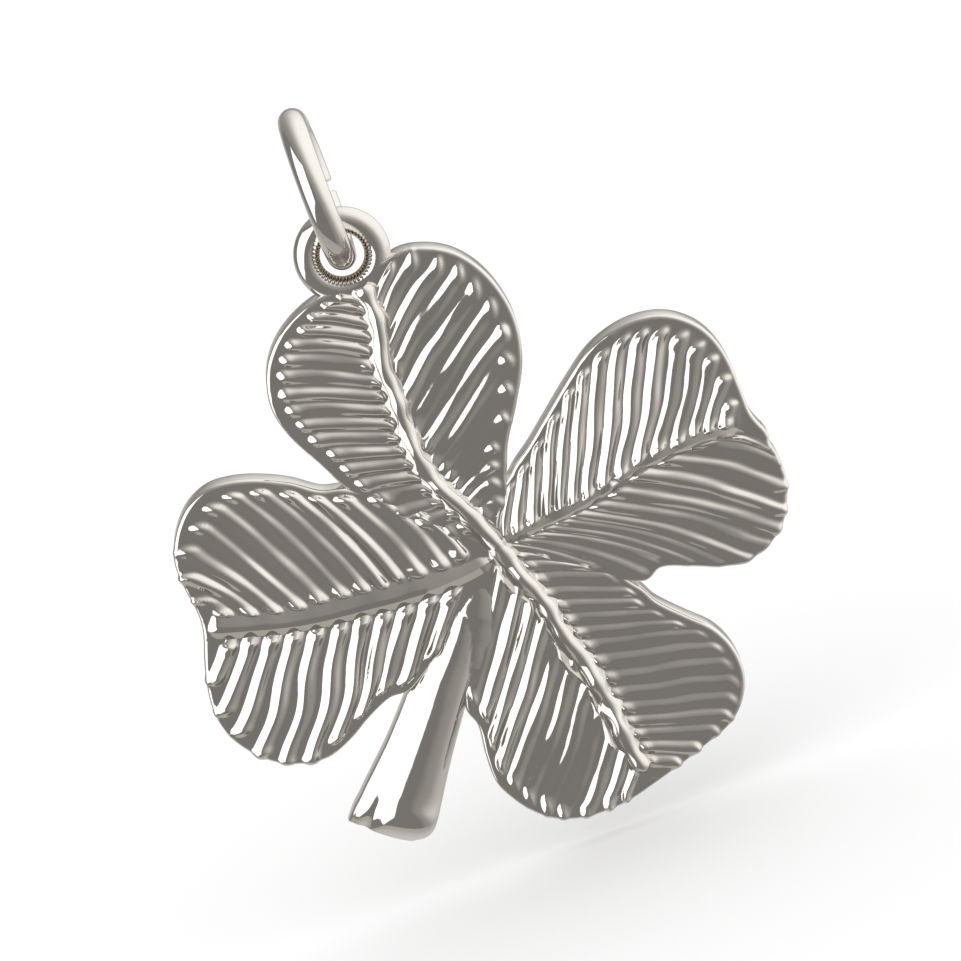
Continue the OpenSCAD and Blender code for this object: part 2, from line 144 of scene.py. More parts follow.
# Sections of the stem, from its root to its foot. Columns: share of the length, left and right side
# as shares of the foot's width, and share of the foot's height.
STEM_ROWS = [
    (0.1, -0.33, 0.03, 0.55), (0.19, -0.28, 0.2, 0.63), (0.28, -0.26, 0.29, 0.72),
    (0.4, -0.3, 0.33, 0.81), (0.505, -0.35, 0.34, 0.88), (0.694, -0.39, 0.385, 0.94),
    (0.847, -0.46, 0.443, 0.98), (0.905, -0.485, 0.465, 1), (0.942, -0.505, 0.462, 0.97),
    (0.972, -0.512, 0.42, 0.82), (1, -0.51, 0.3, 0.58),
]
# The stem's domed section: share of the width, share of the height
STEM_SECTION = [
    (0, 0), (0, 0.5), (0.06, 0.61), (0.2, 0.79), (0.34, 0.93), (0.5, 1), (0.68, 0.98),
    (0.84, 0.87), (0.95, 0.68), (1, 0.45), (1, 0),
]

# Half leaves. Columns: leaf, rows, side (left is plus), number of ribs, row of the notch where the
# half leaves its neighbour, bow of its ribs in mm, how uneven they are, the share of the full rib
# height that their ends reach at the vein and at the edge, and the extra room beside the vein in mm.
HALVES = {
    "top_left": ("top", TOP_LEFT, 1, 20, 3, -0.12, 1.0, 1.0, 0.8, 0),
    "top_right": ("top", TOP_RIGHT, -1, 17, 2, 0.1, 1.3, 0.7, 0.6, 0),
    "right_left": ("right", RIGHT_LEFT, 1, 19, 2, 0.1, 1.0, 1.2, 0.9, -0.15),
    "right_right": ("right", RIGHT_RIGHT, -1, 14, 2, 0.25, 1.2, 0.7, 0.2, 0),
    "bottom_left": ("bottom", BOTTOM_LEFT, 1, 18, 3, 0.1, 0.9, 0.9, 0.2, 0),
    "bottom_right": ("bottom", BOTTOM_RIGHT, -1, 14, 2, 0.12, 1.2, 0.6, 0.6, 0),
    "left_left": ("left", LEFT_LEFT, 1, 13, 2, 0.1, 1.0, 1.25, 0.8, 0.4),
    "left_right": ("left", LEFT_RIGHT, -1, 14, 3, -0.2, 1.1, 1.1, 0.9, 0.1),
}

# Points of a half leaf: across one rib, along it near the vein and near the edge (both as distances in
# mm), in between, and on its rounded edge. On lines shorter than the short line, in mm, the points
# near both ends move together.
RIB_SAMPLES = 12
START_STEPS = (-0.12, 0, 0.08, 0.16, 0.24, 0.32, 0.42, 0.56, 0.75)
END_STEPS = (1.1, 0.9, 0.75, 0.62, 0.52, 0.43, 0.34, 0.26, 0.18, 0.1, 0.04, 0)
MIDDLE_STEPS = 15
SHORT_LINE = 2.2
BEVEL_STEPS = 4
# How far a half leaf is let into its neighbour before the notch, in mm, and over how many rows of its
# table that fades out, how many rows it runs on past its tip, and the share of the vein at which its
# last rib starts
SEAM_OVERLAP = 0.16
SEAM_FADE = 0.7
TIP_OVERLAP = 0.3
LAST_START = 0.965
# Ranges that the start and the end of a rib, in mm, and its height, as a share, are drawn from
START_DRAW = (-0.06, 0.12)
END_DRAW = (-0.06, 0.06)
STRENGTH_DRAW = (-0.18, 0.12)
# How uneven a rib is along its length: its sideways wander as a share of its pitch, and its width and
# height as shares of themselves
RIB_WANDER = 0.13
RIB_SWELL = 0.14
RIB_RISE = 0.3
# The shortest and longest waves of that, in mm, and how many mm one rib counts for across them
WANDER_WAVES, WANDER_ACROSS = (2.2, 6), 0.4
SWELL_WAVES, SWELL_ACROSS = (1.2, 4), 1.7
RISE_WAVES, RISE_ACROSS = (1.6, 5), 1.3
# The swollen rib ends: their length in mm, and how much wider and taller they are
BULB = 0.2
BULB_WIDER = 0.2
BULB_TALLER = 0.25
# How sharp a rib's crest is, and the share of the full width below which a rib gets lower too
CREST_POWER = 1.6
LEAN_BELOW = 0.85
# The flats roll and have fine streaks along the ribs: heights, shortest and longest waves, and the
# distance from the vein over which both set in, all in mm. One mm along a rib counts for this much in
# the streaks, which makes them long.
ROLLING, ROLLING_WAVES = 0.01, (1.1, 3)
STREAKS, STREAK_WAVES = 0.005, (0.35, 0.8)
FLATS_FROM = 0.5
STREAK_STRETCH = 0.3
# The number of waves in an uneven sheet, and what brings their sum to about 1
FIELD_WAVES = 5
FIELD_GAIN = 1.6

# Veins: points on each flank, the blunt part of an end as a share of the end's length, and how uneven
# they are: sideways in mm, and in width and height as shares. Each of these has the number of its
# waves and the shortest and longest of them in mm. Then the points along a vein.
FLANK_STEPS = 13
TAPER_END = 0.02
CORD_DRIFT, CORD_DRIFT_WAVES = 0.05, (3, 1.8, 5)
CORD_SWELL, CORD_SWELL_WAVES = 0.12, (4, 0.7, 1.6)
CORD_RISE, CORD_RISE_WAVES = 0.18, (4, 1, 2.6)
VEIN_STEPS = 90
# Height of the soft mound at the stem's root, in mm
MOUND_HIGH = 0.14

# The stem's sections and the points on each. Its foot has a swelling on the right and a dip near the
# left corner: height or depth in mm, and where they are, as shares of its length and width.
STEM_STEPS = 46
DOME_STEPS = 37
FOOT_SWELL = 0.09
SWELL_AT, SWELL_LONG = 0.895, 0.035
SWELL_SIDE = (0.5, 0.85)
FOOT_DIP = 0.2
DIP_ALONG = (0.74, 0.95)
DIP_AT, DIP_WIDE = 0.25, 0.14

# The flat middle's width where it reaches a notch, in mm, and the sides of its rounded corners
WEB_WIDE = 0.8
WEB_SIDES = 24

# The eye's points round its hole and round its stock, and the sides of the cut that makes room for it
EYE_STEPS = 264
STOCK_STEPS = 30
EYE_CUT_SIDES = 96
# Grooves in the eye: depth in mm, and where they lie round the stock, a quarter turn being the front
GROOVE_DEEP = 0.05
GROOVE_AT, GROOVE_WIDE = math.radians(150), math.radians(16)

# The jump ring's lengths of wire, the points round it and the rounding of its cut ends, in mm
RING_STEPS = 160
WIRE_STEPS = 40
CUT_ROUNDING = 0.05

# Edges that bend by more than this are shaded sharp
SHARP_EDGE = math.radians(48)
# Silver: how fine its clouds are, the share of the tint left in the darkest ones, and the least and
# most roughness in them, as shares of the finish's own. Then how fine the cast and the satin grain
# are, and the full height of both in metres.
CLOUD_SCALE = 260.0
CLOUD_DARK = 0.96
CLOUD_SHINE = (0.7, 1.4)
CAST_GRAIN = 900.0
SATIN_GRAIN = 4000.0
GRAIN_HIGH = 0.0002
# Distances outward from the edge of the eye's hole at which its painted shade, a brown darkening, ends and is
# full, in mm
SHADE_ENDS = 0.22
SHADE_FULL = 0.04

# The studio that the silver mirrors. Columns: direction, as shares of the picture's right, up and back,
# and stops, each the cosine of the angle to that direction and the tone there.
DARK, LAMP = (0, 0, 0), (1.6, 1.6, 1.6)
STUDIO = {
    "room": ((0.68, 0.73, -0.1), [
        (-1, (0.225, 0.217, 0.205)), (-0.28, (0.215, 0.206, 0.193)), (-0.13, (0.29, 0.279, 0.262)),
        (0.1, (0.35, 0.337, 0.315)), (0.34, (0.56, 0.54, 0.51)), (0.45, (0.73, 0.705, 0.67)),
        (0.55, (0.89, 0.865, 0.83)), (0.75, (1.11, 1.09, 1.05)), (1, (1.17, 1.15, 1.12))]),
    "backdrop": ((0, 0, -1), [
        (-1, (1, 1, 1)), (0.83, (1, 1, 1)), (0.92, (0.5, 0.5, 0.5)), (1, (0.5, 0.5, 0.5))]),
    "lamp's near edge": ((-1, -0.275, 0), [(-1, DARK), (0.37, DARK), (0.41, LAMP), (1, LAMP)]),
    "lamp's lower edge": ((-0.71, 1, 0), [(-1, DARK), (-0.2, DARK), (-0.155, LAMP), (1, LAMP)]),
    "lamp's upper edge": ((0, -1, 0), [(-1, DARK), (-0.42, DARK), (-0.36, LAMP), (1, LAMP)]),
    "lamp's far edge": ((0, 0, 1), [(-1, DARK), (-0.08, DARK), (0.02, LAMP), (1, LAMP)]),
    "floor below": ((0, -0.8, -0.6), [
        (-1, DARK), (0.67, DARK), (0.69, (0.43, 0.413, 0.378)), (1, (0.5, 0.48, 0.44))]),
    "floor behind": ((0, -0.5, -0.85), [
        (-1, DARK), (0.5, DARK), (0.62, (0.34, 0.33, 0.315)), (0.8, (0.54, 0.53, 0.51)),
        (1, (0.62, 0.61, 0.59))]),
}
# The brightness of the plain sky that everything but the silver sees, half the floor's width in
# metres, and the floor's roughness
SKY_STRENGTH = 1.12
FLOOR_REACH = 0.6
FLOOR_ROUGHNESS = 0.9

# The picture: its side in pixels, its scale, the middle of the clover in it, and the sensor in mm
PIXELS = 961
PIXELS_PER_MM = 28.6
MIDDLE_PIXEL = (490, 548)
SENSOR = 36.0


class CloverSizes(PropertyGroup):
    """Sizes of the cast clover"""

    leaf_top: FloatVectorProperty(
        name="Top leaf", description="Length and width in mm, and direction in degrees",
        default=(10.6, 9.2, 94.5), size=3)
    leaf_right: FloatVectorProperty(
        name="Right leaf", description="Length and width in mm, and direction in degrees",
        default=(10.5, 9.6, 2.5), size=3)
    leaf_bottom: FloatVectorProperty(
        name="Bottom leaf", description="Length and width in mm, and direction in degrees",
        default=(10.5, 9.6, -77.5), size=3)
    leaf_left: FloatVectorProperty(
        name="Left leaf", description="Length and width in mm, and direction in degrees",
        default=(10.5, 10.6, 174.8), size=3)
    blade: FloatProperty(
        name="Blade", description="Thickness of the leaves, in mm", default=1.0, min=0.8, max=1.4)
    bevel: FloatProperty(
        name="Bevel", description="Width of the rounded front edge, in mm", default=0.14, min=0.05, max=0.2)
    rib_wide: FloatProperty(
        name="Rib width", description="Width of one rib, in mm", default=0.58, min=0.3, max=0.6)
    rib_high: FloatProperty(
        name="Rib height", description="Height of a full rib, in mm", default=0.16, min=0.1, max=0.3)
    rib_border: FloatProperty(
        name="Border", description="Flat border beyond the rib ends, in mm", default=0.4, min=0.2, max=0.6)
    rib_start: FloatProperty(
        name="Rib start", description="Distance from the vein to the ribs, in mm",
        default=0.4, min=0.2, max=0.6)
    root: FloatProperty(
        name="Root", description="How deep raised work is rooted, in mm", default=0.13, min=0.05, max=0.2)
    cord_wide: FloatProperty(
        name="Cord width", description="Width of the top and bottom vein, in mm",
        default=0.54, min=0.3, max=0.7)
    cord_high: FloatProperty(
        name="Cord height", description="Height of the top and bottom vein, in mm",
        default=0.38, min=0.2, max=0.45)
    ridge_high: FloatProperty(
        name="Ridge height", description="Height of the left vein, in mm", default=0.2, min=0.1, max=0.35)
    shoulder_high: FloatProperty(
        name="Shoulder height", description="Height of the low step beside the cord, in mm",
        default=0.12, min=0, max=0.2)
    seam_high: FloatProperty(
        name="Seam height", description="Height of the right vein, in mm", default=0.15, min=0.05, max=0.25)
    stem: FloatVectorProperty(
        name="Stem", description="Length, foot width and foot height in mm, and direction in degrees",
        default=(11.1, 3.05, 1.6, -128.5), size=4)
    hub: FloatProperty(
        name="Middle", description="Width of the flat middle between the leaves, in mm",
        default=3.0, min=2, max=4)


class RingSizes(PropertyGroup):
    """Sizes of the jump ring and the eye"""

    ring_wire: FloatProperty(
        name="Ring wire", description="Diameter of the jump ring's wire, in mm",
        default=1.0, min=0.8, max=1.2)
    ring_hole: FloatProperty(
        name="Ring hole", description="Inside diameter of the jump ring, in mm", default=3.9, min=3.6, max=6)
    slit: FloatProperty(
        name="Slit", description="Opening between the cut ends, in mm", default=0.38, min=0.05, max=0.5)
    slit_drop: FloatProperty(
        name="Slit drop", description="Turn of the slit below the level of the ring's middle",
        subtype="ANGLE", default=math.radians(12), min=0, max=math.radians(25))
    eye_wire: FloatProperty(
        name="Eye stock", description="Diameter of the eye's stock, in mm", default=0.92, min=0.8, max=1.1)
    wire_gap: FloatProperty(
        name="Wire gap", description="Clearance round the wire in the eye, in mm",
        default=0.27, min=0.1, max=0.4)
    eye_sink: FloatProperty(
        name="Eye sink", description="How deep the eye is let into the leaf, in mm",
        default=0.68, min=0.5, max=0.8)
    eye_offset: FloatProperty(
        name="Eye offset", description="Sideways step of the eye, in mm", default=0.3, min=0, max=0.5)
    eye_set: FloatProperty(
        name="Eye height", description="Height of the eye's middle above the back, in mm",
        default=0.55, min=0.5, max=0.65)
    grooves: IntProperty(
        name="Grooves", description="Fine grooves round the front of the eye's hole",
        default=44, min=0, max=80)


class SilverLook(PropertyGroup):
    """Finish of the silver"""

    tint: FloatVectorProperty(
        name="Tint", description="Colour of the silver", subtype="COLOR", size=3,
        default=(0.83, 0.81, 0.78), min=0, max=1)
    # Painted shade: a brown painted into the silver's colour in the eye's hole, where shade falls
    painted_shade: FloatVectorProperty(
        name="Painted shade", description="Colour of the tarnish in the eye's hole", subtype="COLOR", size=3,
        default=(0.36, 0.29, 0.21), min=0, max=1)
    roughness: FloatProperty(
        name="Roughness", description="Spread of the reflections", subtype="FACTOR",
        default=0.06, min=0, max=1)
    grain: FloatProperty(
        name="Grain", description="Depth of the cast surface's fine unevenness", subtype="FACTOR",
        default=0.06, min=0, max=1)
    # The back's darker tint is painted shade: a darker copy of the silver that tones down the bright lamp's
    # reflection on the satin back
    shaded_back_tint: FloatVectorProperty(
        name="Back tint", description="Colour of the satin back", subtype="COLOR", size=3,
        default=(0.52, 0.505, 0.48), min=0, max=1)
    back_roughness: FloatProperty(
        name="Back roughness", description="Spread of the satin back's reflections", subtype="FACTOR",
        default=0.32, min=0, max=1)
    back_grain: FloatProperty(
        name="Back grain", description="Depth of the satin back's fine grain", subtype="FACTOR",
        default=0.08, min=0, max=1)


class StageLook(PropertyGroup):
    """Camera and floor"""

    elevation: FloatProperty(
        name="Elevation", description="Camera height above the horizon", subtype="ANGLE",
        default=math.radians(14.0))
    azimuth: FloatProperty(
        name="Azimuth", description="Camera turn to the right", subtype="ANGLE", default=math.radians(2.0))
    roll: FloatProperty(
        name="Roll", description="Lean of the pendant in the picture", subtype="ANGLE",
        default=math.radians(20.7))
    distance: FloatProperty(
        name="Distance", description="Camera to pendant", unit="LENGTH", default=0.2)
    floor_gap: FloatProperty(
        name="Floor gap", description="Floor below the pendant", unit="LENGTH", default=0.001)
    floor_tint: FloatVectorProperty(
        name="Floor tint", description="Colour of the floor", subtype="COLOR", size=3,
        default=(0.93, 0.93, 0.93), min=0, max=1)


def row_at(rows, place):
    """A smooth value between the rows of a table, row 0 at place 0."""
    rows = np.asarray(rows, float)
    last = len(rows) - 1
    place = np.clip(np.atleast_1d(np.asarray(place, float)), 0, last)
    i = np.minimum(place.astype(int), last - 1)
    a, b, c, d = (rows[np.clip(i + k, 0, last)] for k in (-1, 0, 1, 2))
    t = place - i
    if rows.ndim == 2:
        t = t[:, None]
    return 0.5 * (2 * b + (c - a) * t + (2 * a - 5 * b + 4 * c - d) * t**2 + (3 * b - a - 3 * c + d) * t**3)


def on_leaf(leaf, along, across):
    """A place on a leaf, given in shares, as points of the clover."""
    length, width, turn = leaf
    a, b = np.asarray(along) * length, np.asarray(across) * width
    c, s = math.cos(math.radians(turn)), math.sin(math.radians(turn))
    return np.stack([a * c - b * s, a * s + b * c], -1)


def on_vein(leaf, vein, along):
    """Places on a leaf's vein, at these shares of the leaf's length."""
    return on_leaf(leaf, along, row_at(vein, np.asarray(along) * (len(vein) - 1)))


def smooth_step(x, low, high):
    """Rises smoothly from 0 at low to 1 at high."""
    t = np.clip((x - low) / (high - low), 0, 1)
    return t * t * (3 - 2 * t)


def wave(rng, waves, shortest, longest):
    """A smooth uneven line: a function of a distance in mm, from about -1 to 1."""
    parts = []
    for _ in range(waves):
        parts.append((rng.uniform(shortest, longest), rng.uniform(0, math.tau), rng.uniform(0.5, 1)))
    total = sum(p[2] for p in parts)
    return lambda x: sum(a * np.sin(math.tau * x / w + p) for w, p, a in parts) / total


def field(rng, shortest, longest):
    """A smooth uneven sheet: a function of two distances in mm, from about -1 to 1."""
    parts = []
    for _ in range(FIELD_WAVES):
        turn, reach = rng.uniform(0, math.tau), math.tau / rng.uniform(shortest, longest)
        parts.append((reach * math.cos(turn), reach * math.sin(turn), rng.uniform(0, math.tau)))
    return lambda x, y: FIELD_GAIN * sum(np.sin(a * x + b * y + p) for a, b, p in parts) / FIELD_WAVES


class Shape:
    """Points and faces of one closed solid, gathered before it becomes a mesh."""

    def __init__(self):
        self.points = []
        self.faces = []
        self.count = 0

    def add(self, points):
        points = np.asarray(points, float).reshape(-1, 3)
        first = self.count
        self.points.append(points)
        self.count += len(points)
        return first

    def sheet(self, rows, columns, first, closed_rows=False, closed_columns=False, flip=False):
        """Quads between the points of a grid that was added row by row."""
        for i in range(rows if closed_rows else rows - 1):
            a0, b0 = first + i * columns, first + (i + 1) % rows * columns
            for j in range(columns if closed_columns else columns - 1):
                k = (j + 1) % columns
                face = (a0 + j, b0 + j, b0 + k, a0 + k)
                self.faces.append(face[::-1] if flip else face)

    def object(self, name):
        mesh = bpy.data.meshes.new(name)
        mesh.from_pydata(np.concatenate(self.points).tolist(), [], [tuple(map(int, f)) for f in self.faces])
        made = bpy.data.objects.new(name, mesh)
        bpy.context.scene.collection.objects.link(made)
        return made


def half_leaf(name, sizes):
    """Half a leaf as a closed solid, ruled from its vein to its edge along its ribs."""
    leaf_name, rows, side, count, notch, bow, uneven, vein_end, edge_end, room = HALVES[name]
    leaf = getattr(sizes, "leaf_" + leaf_name)
    vein = VEINS[leaf_name]
    other = next(h[1] for h in HALVES.values() if h[0] == leaf_name and h[2] == -side)
    rng = random.Random(name)

    # One row more, on the other half's side of the tip, closes the leaf there
    table = np.array([*rows, (*other[-2][:2], 1, 0, 0)], float)
    table[:, 2] = np.minimum(table[:, 2], LAST_START)
    last = len(rows) - 1
    steps = int(round(RIB_SAMPLES * count * (1 + TIP_OVERLAP / last)))
    s = np.arange(steps + 1) / RIB_SAMPLES
    place = s * last / count
    r = row_at(table, place)
    start, edge = on_vein(leaf, vein, r[:, 2]), on_leaf(leaf, r[:, 0], r[:, 1])
    way = np.gradient(edge, axis=0)
    way /= np.linalg.norm(way, axis=1)[:, None]
    inward = side * np.stack([way[:, 1], -way[:, 0]], -1)
    edge = edge - inward * SEAM_OVERLAP * (1 - smooth_step(place, notch - SEAM_FADE, notch))[:, None]

    # The ribs' middle lines: where each starts and ends, and its height
    middle = np.arange(count) + 0.5
    rm = row_at(table, middle * last / count)
    rib_from, rib_to = on_vein(leaf, vein, rm[:, 2]), on_leaf(leaf, rm[:, 0], rm[:, 1])
    reach = np.linalg.norm(rib_to - rib_from, axis=1)
    first = sizes.rib_start + room + uneven * np.array([rng.uniform(*START_DRAW) for _ in range(count)])
    kept = np.maximum(0, rm[:, 3])
    hold = kept * sizes.rib_border + sizes.rib_wide / 2 * np.minimum(1, 0.3 + 2 * kept)
    end = reach - hold + uneven * np.array([rng.uniform(*END_DRAW) for _ in range(count)])
    strength = rm[:, 4] * (1 + uneven * np.array([rng.uniform(*STRENGTH_DRAW) for _ in range(count)]))
    strength[end - first < sizes.rib_wide / 2] = 0

    # The grid's lines run along the ribs, from the vein to the bevel
    inner = edge + inward * sizes.bevel
    span = inner - start
    length = np.linalg.norm(span, axis=1)
    span /= length[:, None]
    squeeze = np.minimum(1, length / SHORT_LINE)
    near = np.array(START_STEPS)[None, :] * squeeze[:, None]
    far = length[:, None] - np.array(END_STEPS)[None, :] * squeeze[:, None]
    share = np.linspace(0, 1, MIDDLE_STEPS + 2)[1:-1]
    between = near[:, -1:] + (far[:, :1] - near[:, -1:]) * share[None, :]
    q = np.concatenate([near, between, far], 1)
    flat = start[:, None, :] + span[:, None, :] * q[:, :, None]

    # Each rib is a smooth wave across, as wide as its neighbours leave it
    step = np.gradient(flat, axis=0) * RIB_SAMPLES
    pitch = np.abs(span[:, None, 0] * step[:, :, 1] - span[:, None, 1] * step[:, :, 0])
    rank = s[:, None] + 0 * q
    wander, swell, rise = (field(rng, *waves) for waves in (WANDER_WAVES, SWELL_WAVES, RISE_WAVES))
    rank_at = rank + RIB_WANDER * uneven * wander(q, WANDER_ACROSS * rank)
    k = np.clip(np.floor(rank_at), 0, count - 1).astype(int)
    x = (rank_at - k - 0.5) * pitch
    at_vein, at_edge = np.exp(-((q - first[k]) / BULB) ** 2), np.exp(-((q - end[k]) / BULB) ** 2)
    bulb = at_vein + at_edge
    wide = 1 + RIB_SWELL * uneven * swell(q, SWELL_ACROSS * rank) + BULB_WIDER * bulb
    wide = sizes.rib_wide / 2 * wide
    wide = np.maximum(0.02, np.minimum(wide, pitch / 2))
    over = np.maximum(0, np.maximum(first[k] - q, q - end[k]))
    crest = np.maximum(0, 1 - (x**2 + over**2) / wide**2) ** CREST_POWER
    lean = np.minimum(1, wide / (LEAN_BELOW * sizes.rib_wide / 2))
    level = strength[k] * (1 + RIB_RISE * uneven * rise(q, RISE_ACROSS * rank))
    to_vein, to_edge = np.maximum(level, vein_end) - level, np.maximum(level, edge_end) - level
    level += to_vein * at_vein + to_edge * at_edge
    tall = sizes.rib_high * np.where(strength[k] > 0, level * (1 + BULB_TALLER * bulb), 0)
    high = tall * lean * crest
    rolling, streaks = field(rng, *ROLLING_WAVES), field(rng, *STREAK_WAVES)
    set_in = smooth_step(q, 0, FLATS_FROM)
    high += ROLLING * uneven * rolling(flat[:, :, 0], flat[:, :, 1]) * set_in
    high += STREAKS * uneven * streaks(STREAK_STRETCH * q, sizes.rib_wide * rank) * set_in

    # Bow the ribs sideways, most in the middle of their length, and the first and last ones least
    t = np.clip(q / length[:, None], 0, 1)
    ends_free = smooth_step(s, 0, 2) * (1 - smooth_step(s, count - 2.5, count - 0.5))
    side_way = np.stack([-span[:, 1], span[:, 0]], -1)
    aside = bow * np.sin(math.pi * t) * ends_free[:, None] * squeeze[:, None]
    flat = flat + side_way[:, None, :] * aside[:, :, None]

    top = sizes.blade + high
    # The rounded edge and the wall: over the bevel, which a rib that reaches it pushes out by half its
    # height, then straight down to the flat back
    push = 0.5 * np.maximum(0, high[:, -1])
    turns = np.linspace(0, math.pi / 2, BEVEL_STEPS + 1)[1:]
    out = -inward[:, None, :] * ((sizes.bevel + push)[:, None] * np.sin(turns)[None, :])[:, :, None]
    drop = (sizes.bevel + high[:, -1])[:, None] * (1 - np.cos(turns))[None, :]
    rim = np.concatenate([inner[:, None, :] + out, top[:, -1:, None] - drop[:, :, None]], -1)
    foot = np.concatenate([edge, np.zeros((len(s), 1))], -1)[:, None, :]
    sheet = np.concatenate([flat, top[:, :, None]], -1)
    under = np.concatenate([flat[:, 0], np.zeros((len(s), 1))], -1)[:, None, :]
    grid = np.concatenate([under, sheet, rim, foot], 1)

    solid = Shape()
    n, m = grid.shape[:2]
    solid.add(grid)
    solid.sheet(n, m, 0, closed_columns=True, flip=side < 0)
    low, up = tuple(range(m)), tuple(range((n - 1) * m, n * m))
    solid.faces += [low if side > 0 else low[::-1], up[::-1] if side > 0 else up]
    return solid.object(name)


def flank(kind, t):
    """Height of a vein's flank, from 1 at its crest to 0 at its foot."""
    if kind == "dome":
        return 1 - t**2
    if kind == "slope":
        return 1 - t**1.5
    return 1 - t


def cord(name, path, sizes, left, right, high, uneven, shift=0.0, taper=(0.3, 0.3), narrow=(1, 1)):
    """A raised vein along a path on the flat front, as a closed solid.

    Left and right are each a width in mm and a kind of flank, and shift moves both to the left. Taper is
    the length of each end. Narrow is the right side's share of its width at the start, and the length
    over which it reaches all of it.
    """
    rng = random.Random(name)
    path = np.asarray(path, float)
    steps = np.linalg.norm(np.diff(path, axis=0), axis=1)
    u = np.concatenate([[0], np.cumsum(steps)])
    way = np.gradient(path, axis=0)
    way /= np.linalg.norm(way, axis=1)[:, None]
    across = np.stack([-way[:, 1], way[:, 0]], -1)
    kinds = (CORD_DRIFT_WAVES, CORD_SWELL_WAVES, CORD_RISE_WAVES)
    drift, swell, rise = (wave(rng, *waves) for waves in kinds)
    close = np.sqrt(np.clip(np.minimum(u / taper[0], (u[-1] - u) / taper[1]), TAPER_END, 1))
    broad = (1 + CORD_SWELL * uneven * swell(u)) * close
    tall = (high * (1 + CORD_RISE * uneven * rise(u)) + sizes.root) * close
    centre = path + across * (shift + CORD_DRIFT * uneven * drift(u))[:, None]
    opening = narrow[0] + (1 - narrow[0]) * smooth_step(u, 0, narrow[1])
    share = np.sin(np.linspace(0, math.pi / 2, FLANK_STEPS))
    level = np.concatenate([flank(left[1], share[:0:-1]), flank(right[1], share)])
    solid = Shape()
    ring = []
    for c, a, h, t, o in zip(centre, across, broad, tall, opening):
        side = np.concatenate([left[0] * share[:0:-1], -right[0] * o * share])
        arch = [(*(c + a * h * x), sizes.blade - sizes.root + t * y) for x, y in zip(side, level)]
        # Its underside lies deeper in the leaf and is a little narrower
        low = [(*(c + a * h * k), sizes.blade - 3 * sizes.root) for k in (0.9 * side[-1], 0.9 * side[0])]
        ring.append(arch + low)
    n, m = len(ring), len(ring[0])
    solid.add(ring)
    solid.sheet(n, m, 0, closed_columns=True, flip=True)
    solid.faces += [tuple(range(m))[::-1], tuple(range((n - 1) * m, n * m))]
    return solid.object(name)


def stem(sizes):
    """The domed stem, lofted from its root to its rounded foot."""
    length, foot, tall, turn = sizes.stem
    rows = row_at(STEM_ROWS, np.linspace(0, len(STEM_ROWS) - 1, STEM_STEPS))
    section = row_at(STEM_SECTION, np.linspace(0, len(STEM_SECTION) - 1, DOME_STEPS))
    section[:, 1] = np.maximum(section[:, 1], 0)
    c, s = math.cos(math.radians(turn)), math.sin(math.radians(turn))
    a = rows[:, 0] * length
    b = (rows[:, 1:2] + (rows[:, 2:3] - rows[:, 1:2]) * section[None, :, 0]) * foot
    swell = np.exp(-((rows[:, 0] - SWELL_AT) / SWELL_LONG) ** 2)[:, None]
    swell = swell * smooth_step(section[None, :, 0], *SWELL_SIDE)
    dip = np.clip((section[None, :, 0] - DIP_AT) / DIP_WIDE, -1, 1)
    dip = smooth_step(rows[:, 0], *DIP_ALONG)[:, None] * (0.5 + 0.5 * np.cos(math.pi * dip))
    z = section[None, :, 1] * (rows[:, 3:4] * tall + FOOT_SWELL * swell) - FOOT_DIP * dip
    grid = np.stack([a[:, None] * c - b * s, a[:, None] * s + b * c, z], -1)
    solid = Shape()
    n, m = grid.shape[:2]
    solid.add(grid)
    solid.sheet(n, m, 0, closed_columns=True)
    solid.faces += [tuple(range(m)), tuple(range((n - 1) * m, n * m))[::-1]]
    return solid.object("stem")


def disc(name, radius, low, high, steps, at):
    """A plain round solid that cuts room for the eye."""
    solid = Shape()
    turns = np.arange(steps) * math.tau / steps
    for z in (low, high):
        solid.add([(at[0] + radius * math.cos(t), at[1] + radius * math.sin(t), z) for t in turns])
    for i in range(steps):
        j = (i + 1) % steps
        solid.faces.append((i, j, steps + j, steps + i))
    solid.faces += [tuple(range(steps))[::-1], tuple(range(steps, 2 * steps))]
    return solid.object(name)


def web(name, sizes, leaf_a, row_a, leaf_b, row_b):
    """Part of the flat middle: from the hub to the notch where two leaves meet."""
    notch = (on_leaf(leaf_a, *row_a[:2]) + on_leaf(leaf_b, *row_b[:2])) / 2
    turns = np.arange(WEB_SIDES) * math.tau / WEB_SIDES
    round_line = np.stack([np.cos(turns), np.sin(turns)], -1)
    points = np.concatenate([round_line * sizes.hub / 2, notch + round_line * WEB_WIDE / 2])
    points = points[convex_hull_2d([Vector(p) for p in points])]
    n = len(points)
    solid = Shape()
    for z in (0, sizes.blade):
        solid.add([(*p, z) for p in points])
    solid.faces += [(i, (i + 1) % n, n + (i + 1) % n, n + i) for i in range(n)]
    solid.faces += [tuple(range(n))[::-1], tuple(range(n, 2 * n))]
    return solid.object(name)


def eye_centre(sizes, ring):
    """The eye's middle, as the clover lies, and its radius to the middle of its stock."""
    radius = (ring.ring_wire + 2 * ring.wire_gap + ring.eye_wire) / 2
    rise = radius + ring.eye_wire / 2 - ring.eye_sink
    length, width, _ = sizes.leaf_top
    place = on_leaf(sizes.leaf_top, 1 + rise / length, ring.eye_offset / width)
    return place, radius


def hang(ring):
    """Distance from the inside top of the jump ring down to the eye's middle."""
    return ring.ring_hole / 2 + (ring.ring_hole + ring.ring_wire) / 2


